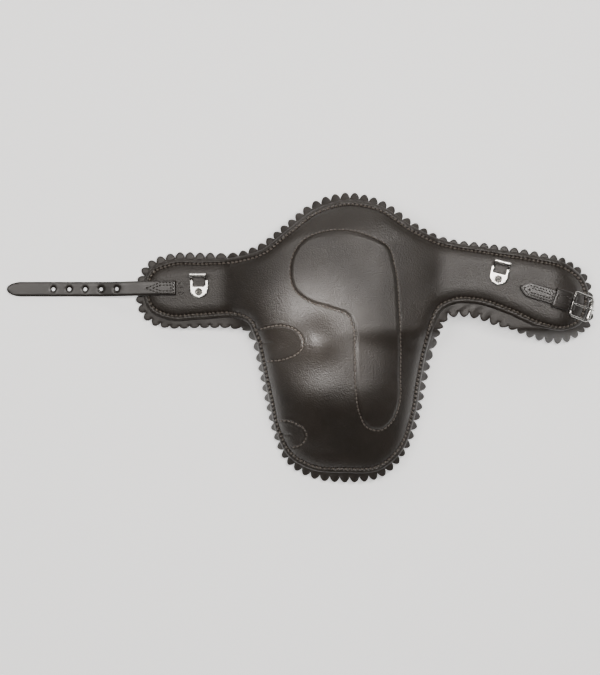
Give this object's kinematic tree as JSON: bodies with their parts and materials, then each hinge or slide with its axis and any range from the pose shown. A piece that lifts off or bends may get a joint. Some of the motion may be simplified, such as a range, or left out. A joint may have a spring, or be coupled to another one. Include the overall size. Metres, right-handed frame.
{
  "type": "strap-on leather guard pad",
  "caption": "Moulded black leather guard with two wrap-round arms, a raised sewn panel, pinked lining, riveted strap loops, a punched strap and a roller buckle.",
  "frame": {"origin": "centre of the overall box, on the surface the pad lies on", "axes": "+X along the arms, from the strap's tip to the buckle; +Y up the pad, towards its rounded head; +Z out of the pad's outer face"},
  "size_m": [0.6331, 0.31, 0.0681],
  "materials": {
    "shell_leather": "fine pebble grain, satin",
    "lining_leather": "soft, padded, pinked edge",
    "foam_core": "closed-cell foam",
    "fibre_board": "stiff backing",
    "thread": "waxed thread",
    "strap_leather": "smooth, glossy",
    "nickel": "bright nickel plate"
  },
  "bodies": {
    "pad": {"shell_centre": "shell_leather", "lining_centre": "lining_leather", "core_centre": "foam_core", "panel_insert": "fibre_board", "upper_dart_stay": "fibre_board", "lower_dart_stay": "fibre_board", "panel_thread": "thread", "upper_dart_thread": "thread", "lower_dart_thread": "thread", "edge_thread_top": "thread", "edge_thread_skirt": "thread"},
    "left_arm": {"shell_left_arm": "shell_leather", "lining_left_arm": "lining_leather", "core_left_arm": "foam_core", "edge_thread_left_arm": "thread", "hanger_left": "nickel", "rivet_left": "nickel", "rivet_burr_left": "nickel", "strap_tab": "strap_leather", "strap_tab_thread": "thread"},
    "strap": {"strap_billet": "strap_leather"},
    "right_arm": {"shell_right_arm": "shell_leather", "lining_right_arm": "lining_leather", "core_right_arm": "foam_core", "edge_thread_right_arm": "thread", "hanger_right": "nickel", "rivet_right": "nickel", "rivet_burr_right": "nickel", "chape": "strap_leather", "chape_thread": "thread", "keeper": "strap_leather", "keeper_thread": "thread"},
    "buckle": {"buckle_frame": "nickel"},
    "roller": {"roller": "nickel"},
    "tongue": {"tongue": "nickel"}
  },
  "joints": [
    {"name": "left_arm_wrap", "type": "hinge", "parent": "pad", "child": "left_arm", "pos_m": [-0.064, 0.05, 0.0115], "axis": [0, -1, 0], "range_deg": [0, 70]},
    {"name": "right_arm_wrap", "type": "hinge", "parent": "pad", "child": "right_arm", "pos_m": [0.1496, 0.055, 0.0295], "axis": [0, 1, 0], "range_deg": [0, 75]},
    {"name": "strap_bend", "type": "hinge", "parent": "left_arm", "child": "strap", "pos_m": [-0.179, 0.0526, 0.01178], "axis": [0, -1, 0], "range_deg": [-90, 75]},
    {"name": "buckle_swing", "type": "hinge", "parent": "right_arm", "child": "buckle", "pos_m": [0.29231, 0.03735, 0.03423], "axis": [-0.2773, -0.9512, 0.1357], "range_deg": [0, 45]},
    {"name": "tongue_swing", "type": "hinge", "parent": "buckle", "child": "tongue", "pos_m": [0.29231, 0.03735, 0.03423], "axis": [-0.2773, -0.9512, 0.1357], "range_deg": [0, 50]},
    {"name": "roller_spin", "type": "hinge", "parent": "buckle", "child": "roller", "pos_m": [0.31183, 0.03008, 0.02314], "axis": [0.2773, 0.9512, -0.1357], "continuous": true}
  ]
}
